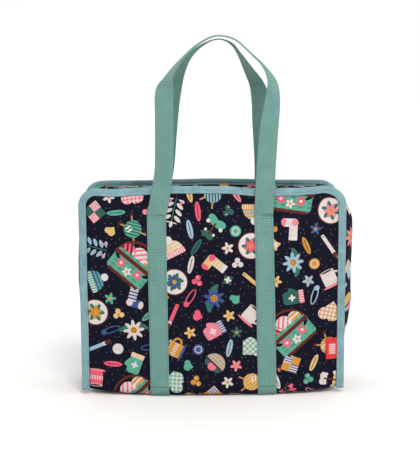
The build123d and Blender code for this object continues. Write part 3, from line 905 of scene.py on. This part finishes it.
def stripSheet(firstX, lastX, firstY, lastY, across, along):
    def place(u, v):
        x = firstX + (lastX - firstX) * u
        y = firstY + (lastY - firstY) * v
        return stripPlace(x, y), (x + strip["printShift"][0], y + strip["printShift"][1])

    return cutCloth(across, along, place, lambda at: Vector((0, 0, 1)))


def stretches(end):
    # the middle and the two sides of what runs along the zip
    return [("Left", -end, -strip["flap"]), ("Middle", -strip["flap"], strip["flap"]),
            ("Right", strip["flap"], end)]


def joinFlap(piece, name, part):
    # the middle opens with its flap, and the sides keep their places between the flap and the sewn ends
    body = name + "_flap_strip"
    if part == "Middle":
        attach(piece, body)
        return
    reach = -1 if part == "Left" else 1
    reach * strip["flap"]
    reach * strip["still"]
    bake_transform(piece)


for side, name in ((-1, "front"), (1, "back")):
    for part, firstX, lastX in stretches(strip["end"]):
        wide = round((lastX - firstX) / strip["mesh"])
        bm = stripSheet(firstX, lastX, side * strip["seam"], side * strip["zip"], wide, strip["rows"])
        replaced = [name + "_flap"] if part == "Middle" else []
        cloth = makePiece(name + "Strip" + part, bm, clothPrint, replaced,
                          strip["thickness"], plainSide)
        joinFlap(cloth, name, part)
        lastX - firstX
for reach, name in ((-1, "left"), (1, "right")):
    bm = stripSheet(reach * strip["closed"], reach * strip["end"], -strip["zip"], strip["zip"],
                    *strip["endMesh"])
    cloth = makePiece(name + "StripEnd", bm, clothPrint, ["zip_end_" + name],
                      strip["thickness"], plainSide)
    layCloth(cloth)
print("strips cut")


# Zip: tapes and moulded teeth, cut like the strips

zipper = dict(
    tapeTop=0.319, tapeOuter=0.018, tapeInner=0.0036, tapeThickness=0.0006, tapeEnd=0.1715, halfLength=0.1612,
    pitch=0.003, tooth=(0.0019, 0.0036, 0.0022), root=0.0040, level=0.3187, bevel=0.0005,
    mesh=0.004,
)


def tapeSheet(firstX, lastX, side):
    def place(u, v):
        x = firstX + (lastX - firstX) * u
        y = zipper["tapeOuter"] + (zipper["tapeInner"] - zipper["tapeOuter"]) * v
        return Vector((x, side * y, zipper["tapeTop"])), (x, y)

    return cutCloth(round((lastX - firstX) / zipper["mesh"]), 6, place, lambda at: Vector((0, 0, 1)))


def tooth(bm):
    bmesh.ops.create_cube(bm, size=1, matrix=Matrix.Diagonal((*zipper["tooth"], 1)))
    level = [edge for edge in bm.edges if abs(edge.verts[0].co.z - edge.verts[1].co.z) < 0.0001]
    size = zipper["bevel"]
    bmesh.ops.bevel(bm, geom=level, offset=size, affect="EDGES", segments=1, profile=0.5, material=-1)


def toothRow(firstX, lastX, side):
    bm = bmesh.new()
    shape = stampMesh(tooth)
    count = round((lastX - firstX) / zipper["pitch"])
    for index in range(count):
        x = firstX + (index + 0.5) * (lastX - firstX) / count
        y = side * (zipper["root"] - zipper["tooth"][1] / 2)
        stamp(bm, shape, Matrix.Translation((x, y, zipper["level"])))
    bpy.data.meshes.remove(shape)
    return bm


for side, name in ((-1, "front"), (1, "back")):
    for part, firstX, lastX in stretches(zipper["tapeEnd"]):
        node = name if part == "Middle" else "ends"
        bm = tapeSheet(firstX, lastX, side)
        tape = makePiece(name + "ZipTape" + part, bm, zipTape, ["zip_tape_" + node],
                         zipper["tapeThickness"])
        bm = toothRow(max(firstX, -zipper["halfLength"]), min(lastX, zipper["halfLength"]), side)
        teeth = makePiece(name + "ZipTeeth" + part, bm, zipCoil, ["zip_teeth_" + node])
        teeth.data.shade_flat()
        joinFlap(tape, name, part)
        joinFlap(teeth, name, part)
        name + "Strip" + part
for node, finish in (("zip_slider", zipMetal), ("zip_pull", zipMetal), ("zip_stops", zipMetal),
                     ("base_board", board)):
    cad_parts[node].data.materials.clear()
    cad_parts[node].data.materials.append(finish)
print("zip made")


# Binding: folded tape over the outer seams, standing up as a thin fin

binding = dict(
    foot=0.0082, out=0.005, radius=0.023, plane=0.0555, steps=300, lean=(0.22, 0.5),
    profile=[
        (-6.0, 0.0), (-6.0, 1.1), (-5.4, 1.6), (-4.3, 1.7), (-3.3, 1.35), (-2.7, 0.9), (-2.1, 1.2),
        (-0.6, 1.6),
        (1.6, 1.55), (3.6, 1.4), (5.0, 1.15), (5.8, 0.7), (6.0, 0.0), (5.8, -0.7), (5.0, -1.15), (3.6, -1.4),
        (1.6, -1.55), (-0.6, -1.6), (-2.1, -1.2), (-2.7, -0.9), (-3.3, -1.35), (-4.3, -1.7), (-5.4, -1.6),
        (-6.0, -1.1),
    ],
    groove=(-0.0027, 0.0009), stitchPitch=0.0034,
    thread=dict(length=0.0026, width=0.0006, height=0.0006),
)


def bindingLengths():
    # the straight sides, the straight top and the whole
    side = bag["top"] + binding["out"] - binding["radius"] - binding["foot"]
    level = 2 * (sideSeam(bag["top"]) + binding["out"] - binding["radius"])
    return side, level, 2 * side + math.pi * binding["radius"] + level


def bindingPath(run):
    # place and outward direction of the tape's middle line, from the left foot round to the right one
    out, radius = binding["out"], binding["radius"]
    side, level, total = bindingLengths()
    flip = run > total / 2
    run = total - run if flip else run
    if run <= side:
        z = binding["foot"] + run
        place, away = Vector((-(sideSeam(z) + out), 0, z)), Vector((-1, 0, 0))
    elif run <= side + radius * math.pi / 2:
        turn = (run - side) / radius
        away = Vector((-math.cos(turn), 0, math.sin(turn)))
        place = Vector((-level / 2, 0, bag["top"] + out - radius)) + away * radius
    else:
        across = run - side - radius * math.pi / 2 - level / 2
        place, away = Vector((across, 0, bag["top"] + out)), Vector((0, 0, 1))
    if flip:
        place.x, away.x = -place.x, -away.x
    return place, away


def bindingStation(run, side, seed):
    place, away = bindingPath(run)
    sway = ripple(run * 9, seed, 0.3) * 0.0005
    rise = topRise(place.x, side > 0) if away.z > 0.9 else 0.0
    wander = ripple(run * 14, seed, 5.3) * 0.0005
    at = Vector((place.x, side * (binding["plane"] + sway), place.z)) + away * (wander + rise)
    # the top stretches lean in over the zip
    level = smoothStep(away.z, 0.7, 1.0) * (1 - smoothStep(abs(place.x), 0.12, 0.18) * 0.6)
    lean = level * binding["lean"][side > 0]
    outward = Vector((0, side, 0))
    turned = away * math.cos(lean) - outward * math.sin(lean)
    return at, turned, outward * math.cos(lean) + away * math.sin(lean)


def bindingTape(name, side, seed):
    total = bindingLengths()[2]
    runs = [total * index / binding["steps"] for index in range(binding["steps"] + 1)]
    bm = tubeAlong([bindingStation(run, side, seed) for run in runs], binding["profile"], runs)
    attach(makePiece(name + "BindingTape", bm, tapeFront, [name + "_binding"]), "root")
    stitches = []
    count = round(total / binding["stitchPitch"])
    a, b = binding["groove"]
    for index in range(count):
        run = total * (index + 0.5) / count
        at, out, across = bindingStation(run, side, seed)
        ahead = bindingStation(min(run + 0.001, total), side, seed)[0]
        stitches += [(at + out * a + across * (b * face), ahead - at, across * face) for face in (1, -1)]
    sewPiece(name + "BindingStitches", stitches, binding["thread"], tapeThread)


bindingTape("front", -1, 1.5)
bindingTape("back", 1, 8.5)
print("binding sewn on")


# Webbing: one length on each face, sewn up the bag and free above the fold line

ribbon = dict(
    half=0.015, thick=0.0018, clear=0.0003, left=-0.085, right=0.086, leanLeft=-0.003, leanRight=-0.006,
    foldLine=0.290, crownGap=0.0016, frontRise=0.2782, backRise=0.2735, step=0.0042, blend=(0.284, 0.300),
    hinge=0.0648, smooth=9,
    thread=dict(length=0.0031, width=0.0009, height=0.0009), stitchPitch=0.0038, edge=0.0024,
    bars=(0.0155, 0.262, 0.283), barPitch=0.0031,
)
frontRoute = [
    ((0.04, 0.99, 0.12), (0.98, 0.05, -0.15)), ((0.07, 0.90, 0.245), (0.95, 0.26, 0)),
    ((0.077, 0.74, 0.395), (0.96, 0.24, 0)),
    ((0.077, 0.57, 0.545), (0.96, 0.25, 0)), ((0.08, 0.40, 0.685), (0.95, 0.3, 0)),
    ((0.127, 0.255, 0.775), (0.4, 0.9, -0.05)),
    ((0.256, 0.135, 0.877), (0.1, 0.99, -0.06)), ((0.405, 0.035, 0.956), (0.03, 0.99, -0.06)),
    ((0.571, 0, 1), (0, 0.99, -0.05)),
    ((0.745, 0.015, 0.978), (-0.03, 0.99, -0.06)), ((0.886, 0.08, 0.904), (-0.05, 0.99, -0.06)),
    ((1.012, 0.18, 0.829), (-0.15, 0.98, -0.05)),
    ((1.09, 0.30, 0.741), (-0.53, 0.85, 0)), ((1.09, 0.42, 0.64), (-0.82, 0.57, 0)),
    ((1.055, 0.62, 0.48), (-0.97, 0.2, 0)),
    ((1.027, 0.86, 0.285), (-1, 0, 0)), ((1.012, 0.99, 0.134), (-1, 0, 0)),
]
backRoute = [
    ((0.018, 0.99, 0.12), (1, 0, 0)), ((0.053, 0.88, 0.255), (1, 0, 0)), ((0.076, 0.66, 0.42), (1, 0.05, 0)),
    ((0.1, 0.475, 0.57), (0.96, 0.2, -0.1)), ((0.134, 0.31, 0.705), (0.85, 0.45, -0.25)),
    ((0.193, 0.19, 0.81), (0.55, 0.8, -0.25)),
    ((0.287, 0.092, 0.9), (0.2, 0.96, -0.15)), ((0.415, 0.022, 0.967), (0.05, 0.99, -0.05)),
    ((0.556, 0, 1), (0, 0.99, 0.02)),
    ((0.678, 0.012, 0.977), (-0.05, 0.99, -0.02)), ((0.76, 0.06, 0.915), (-0.1, 0.99, -0.08)),
    ((0.85, 0.16, 0.822), (-0.38, 0.9, -0.2)),
    ((0.931, 0.29, 0.734), (-0.71, 0.66, -0.22)), ((0.968, 0.42, 0.64), (-0.96, 0.25, -0.05)),
    ((0.978, 0.573, 0.52), (-0.99, 0.1, 0)),
    ((0.994, 0.747, 0.38), (-1, 0, 0)), ((1.006, 0.9, 0.235), (-1, 0, 0)), ((1.006, 0.99, 0.12), (-1, 0, 0)),
]


def sewnEdges(middle, lean):
    # the two edges of a sewn strap, from under the base up to the fold line
    rows = []
    longest = wallLength(middle)
    start = bag["top"] - ribbon["foldLine"]
    count = round((longest - start) / ribbon["step"])
    for index in range(count + 1):
        share = 1 - index / count
        pair = []
        for reach in (1, -1):
            x = middle + reach * ribbon["half"]
            run = start + share * (wallLength(x) - start)
            z = max(bag["top"] - run, 0)
            rise = (z - bag["base"] - bag["fold"]) / (ribbon["foldLine"] - bag["base"] - bag["fold"])
            x += lean * max(0.0, rise)
            pair.append(wallPlace(x, run, -ribbon["clear"] - ribbon["thick"] / 2))
        rows.append(pair)
    return rows


def throughPoints(points, steps):
    # a smooth line through points, with even steps between each two
    ends = [points[0] * 2 - points[1]] + points + [points[-1] * 2 - points[-2]]
    line = []
    for index in range(len(points) - 1):
        before, first, second, after = ends[index:index + 4]
        for step in range(steps):
            t = step / steps
            bend = (2 * before - 5 * first + 4 * second - after) * t**2
            twist = (3 * first - before - 3 * second + after) * t**3
            line.append(0.5 * (2 * first + (second - before) * t + bend + twist))
    return line + [points[-1]]


def handleEdges(route, left, right, rise):
    foot = ribbon["foldLine"] + ribbon["clear"]
    standoff = ribbon["half"] + ribbon["crownGap"] / 2

    def legOut(x):
        fullest = bulge(abs(x) - ribbon["half"], ribbon["foldLine"])
        return bag["halfDepth"] + fullest + ribbon["clear"] + ribbon["thick"] / 2

    places = [(Vector((left, -legOut(left), foot)), Vector((1, 0, 0)))]
    for (across, out, up), width in route:
        away = standoff + (legOut(left) - standoff) * out
        spot = Vector((left + (right - left) * across, -away, foot + rise * up))
        places.append((spot, mirrored(Vector(width), True)))
    places.append((Vector((right, -legOut(right), foot)), Vector((-1, 0, 0))))
    edges = [[place + width * (reach * ribbon["half"]) for place, width in places] for reach in (1, -1)]
    return list(zip(*[throughPoints(edge, ribbon["smooth"]) for edge in edges]))


def ribbonStations(pairs, back):
    # place, width direction and outward direction along a ribbon
    pairs = [(mirrored(a, back), mirrored(b, back)) for a, b in pairs]
    middles = [(a + b) / 2 for a, b in pairs]
    stations = []
    for index, (a, b) in enumerate(pairs):
        along = (middles[min(index + 1, len(pairs) - 1)] - middles[max(index - 1, 0)]).normalized()
        across = a - b
        across = (across - along * across.dot(along)).normalized()
        stations.append((middles[index], across, across.cross(along) * (-1 if back else 1)))
    return stations


def ribbonProfile():
    # half the width across and half the thickness up, in millimetres, with a groove inside each selvedge
    half, thick = ribbon["half"] * 1000, ribbon["thick"] * 500
    upper = [(half, 0), (half - 0.15, thick * 0.6), (half - 0.7, thick * 0.95), (half - 1.8, thick * 0.84),
             (half - 2.6, thick)]
    upper += [(half * share, thick) for share in (0.5, 0.2, -0.2, -0.5)]
    upper += [(-a, b) for a, b in reversed(upper[1:5])]
    return upper + [(-half, 0)] + [(a, -b) for a, b in reversed(upper[1:])]


def ribbonPiece(name, stations, replaced):
    bm = tubeAlong(stations, ribbonProfile(), walked([at for at, _, _ in stations]))
    return makePiece(name, bm, webbing, replaced)


def strapStitches(rows, back):
    # a row along each edge, and bars across at the foot and at the fold line
    edges, footBars = [], []
    sewn = ribbonStations(rows, back)
    lengths = walked([at for at, _, _ in sewn])
    count = round(lengths[-1] / ribbon["stitchPitch"])
    for index in range(count):
        run = lengths[-1] * (index + 0.5) / count
        spot = next(i for i, length in enumerate(lengths) if length >= run)
        share = (run - lengths[spot - 1]) / (lengths[spot] - lengths[spot - 1])
        at = sewn[spot - 1][0].lerp(sewn[spot][0], share)
        along = sewn[spot][0] - sewn[spot - 1][0]
        side = sewn[spot][1]
        out = side.cross(along).normalized()
        out = out if out.dot(Vector((0, 1 if back else -1, -0.2))) > 0 else -out
        raised = out * (ribbon["thick"] / 2)
        for reach in (1, -1):
            edges.append((at + side * (reach * (ribbon["half"] - ribbon["edge"])) + raised, along, out))
        if any(abs(at.z - level) < ribbon["stitchPitch"] / 2 for level in ribbon["bars"]):
            row = footBars if at.z < 0.1 else edges
            row.extend((at + side * (step * ribbon["barPitch"]) + raised, side, out) for step in range(-4, 5))
    return edges, footBars


def makeRibbon(name, route, leans, back):
    left, right = ribbon["left"], ribbon["right"]
    up = sewnEdges(left, leans[0])
    over = handleEdges(route, left + leans[0], right + leans[1], ribbon[name + "Rise"])
    down = [(b, a) for a, b in reversed(sewnEdges(right, leans[1]))]
    replaced = ["strap_" + name + "_left", name + "_handle", "strap_" + name + "_right"]
    piece = ribbonPiece(name + "Webbing", ribbonStations(up + over + down, back), replaced)
    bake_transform(piece)
    first, second = strapStitches(up, back), strapStitches(down, back)
    sewPiece(name + "WebbingStitches", first[0] + second[0], ribbon["thread"], webThread)
    sewPiece(name + "WebbingFootStitches", first[1] + second[1], ribbon["thread"], darkThread)


makeRibbon("front", frontRoute, (ribbon["leanLeft"], ribbon["leanRight"]), False)
makeRibbon("back", backRoute, (0.0, 0.0), True)
under = round(bag["under"] * 1000)
for name in ("left", "right"):
    steps = [Vector((ribbon[name], y / 1000, ribbon["thick"] / 2)) for y in range(-under, under + 1, 2)]
    rows = [(place, Vector((1, 0, 0)), Vector((0, 0, 1))) for place in steps]
    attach(ribbonPiece(name + "BaseWebbing", rows, ["strap_base_" + name]), "root")
print("webbing sewn on")


# Inside: padding, lining, pocket

inside = dict(
    mesh=60, padDepth=0.0015, padThickness=0.0026, padInset=0.0042, padDrop=0.004, padFill=0.4,
    depth=0.0044, inset=0.0057, drop=0.0055, thickness=0.0008, cut=(0.389, 0.335),
    rightRise=0.027, leftRise=0.0165, sideCut=(0.345, 0.1),
    side=dict(seed=1.0, along=60, across=20, depth=0.0015, margin=0.006, first=0.03),
    base=dict(across=60, along=12, halfWidth=0.1930, halfDepth=0.0427), baseDepth=0.0048,
    baseCut=(0.386, 0.086),
)


def lineWith(name, bm):
    node = "lining_" + name
    cloth = makePiece(name + "LiningCloth", bm, liningCloth, [node], inside["thickness"])
    layCloth(cloth)


for name, back in (("front", False), ("back", True)):
    bm = wallSheet(inside["mesh"], inside["mesh"], inside["padInset"], inside["padDepth"], back,
                   topDrop=inside["padDrop"])
    pad = makePiece(name + "PaddingLayer", bm, foam, [name + "_padding"], inside["padThickness"])
    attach(pad, "root")
    bm = wallSheet(inside["mesh"], inside["mesh"], inside["inset"], inside["depth"], back,
                   topDrop=inside["drop"])
    lineWith(name, bm)
for side, name in ((1, "right"), (-1, "left")):
    bm = gussetSheet(side, inside[name + "Rise"], **inside["side"])
    lineWith(name, bm)
lineWith("base", baseSheet(inside["base"], inside["baseDepth"]))

pocket = dict(
    half=0.095, foot=0.070, top=0.2003, depth=0.0061, sag=0.003, thickness=0.0006, cut=(0.19, 0.131),
    hem=0.012, hemDepth=0.0065, hemThickness=0.0016, hemCut=(0.19, 0.013),
)


def pocketSheet(low, high, depth, rows):
    def place(u, v):
        x = (2 * u - 1) * pocket["half"]
        z = low + (high - low) * v
        middle = max(0.0, 1 - (x / pocket["half"]) ** 2)
        loose = pocket["sag"] * smoothStep(z, pocket["foot"], pocket["top"]) * middle
        return mirrored(wallPlace(x, bag["top"] - z, depth + loose), True), (x, z)

    return cutCloth(48, rows, place, lambda at: Vector((0, -1, 0)))


bm = pocketSheet(pocket["foot"], pocket["top"], pocket["depth"], 30)
cloth = makePiece("innerPocketCloth", bm, liningCloth, ["inner_pocket"], pocket["thickness"])
layCloth(cloth)
bm = pocketSheet(pocket["top"] - 0.001, pocket["top"] + pocket["hem"], pocket["hemDepth"], 6)
hem = makePiece("pocketHemTape", bm, tapeFront, ["pocket_hem"], pocket["hemThickness"])
layCloth(hem)
print("inside made")


# Red tab folded into the right front seam

tab = dict(
    left=0.1798, right=0.2003, foot=0.0570, top=0.0910, loop=0.0013, sewn=0.0005, lift=0.0006, curl=0.0005,
    thickness=0.0006, cut=(0.043, 0.034),
)


def tabPlace(u, v):
    # out along the front layer, round the fold at the left, back along the rear layer
    loop = tab["loop"]
    length = tab["right"] - tab["left"] - loop
    bend = math.pi * loop
    run = u * (2 * length + bend)
    z = tab["foot"] + (tab["top"] - tab["foot"]) * v
    front = run < length + bend / 2
    if run < length:
        x, off = tab["right"] - run, 1.0
    elif run < length + bend:
        turn = (run - length) / loop
        x, off = tab["left"] + loop - math.sin(turn) * loop, math.cos(turn)
    else:
        x, off = tab["left"] + loop + run - length - bend, -1.0
    freed = smoothStep(tab["right"] - x, 0.0, 0.012)
    reach = tab["sewn"] + (loop - tab["sewn"]) * freed
    curl = tab["curl"] * math.sin(v * 5.0 + 0.6) * freed
    wall = bag["halfDepth"] + bulge(min(x, tab["right"] - 0.001), z)
    y = -wall - tab["lift"] * freed - reach * (1 + off) - curl
    across = tab["right"] - tab["left"]
    return Vector((x, y, z)), (across - run if front else 0.05 + run, v * (tab["top"] - tab["foot"]))


def tabOutward(at):
    # the front layer faces forward and the rear layer back
    middle = bag["halfDepth"] + bulge(at.x, at.z) + tab["lift"] + tab["loop"]
    return Vector((0, -1 if -at.y > middle else 1, 0))


bm = cutCloth(40, 26, tabPlace, tabOutward)
cloth = makePiece("seamTab", bm, redRibbon, ["label_tab"], tab["thickness"])
layCloth(cloth)
print("tab made")


# Floor and light

studio = dict(
    floor=14.0,
    lights=[
        dict(kind="SUN", place=(0.155, -0.642, 0.755), aim=(0, 0, 0),
             lamp=dict(name="key", angle=0.4, energy=1.75)),
        dict(kind="AREA", place=(2.4, -1.3, 1.2), aim=(0, 0, 0.2),
             lamp=dict(name="side", size=1.6, energy=16)),
    ],
)


def floorMaterial():
    p = Paint("floor", roughness=0.9, specular=0.1)
    cloud = p.cloud(p.solid(), 0.002, 2.0)
    p.colour(p.mix(cloud, tint(246, 244, 242), tint(249, 247, 245)))
    return p.material


bm = bmesh.new()
bmesh.ops.create_grid(bm, x_segments=1, y_segments=1, size=studio["floor"])
makePiece("floor", bm, floorMaterial())

for look in studio["lights"]:
    data = bpy.data.lights.new("lamp", look["kind"])
    for key, value in look["lamp"].items():
        setattr(data, key, value)
    lamp = bpy.data.objects.new(data.name, data)
    toward = (Vector(look["aim"]) - Vector(look["place"])).to_track_quat("-Z", "Y")
    lamp.matrix_world = Matrix.Translation(look["place"]) @ toward.to_matrix().to_4x4()
    bpy.context.collection.objects.link(lamp)
world = bpy.data.worlds.new("studio")
world.use_nodes = True
background = world.node_tree.nodes["Background"]
background.inputs["Color"].default_value = (1, 1, 1, 1)
background.inputs["Strength"].default_value = 1.0
bpy.context.scene.world = world
print("studio lit")
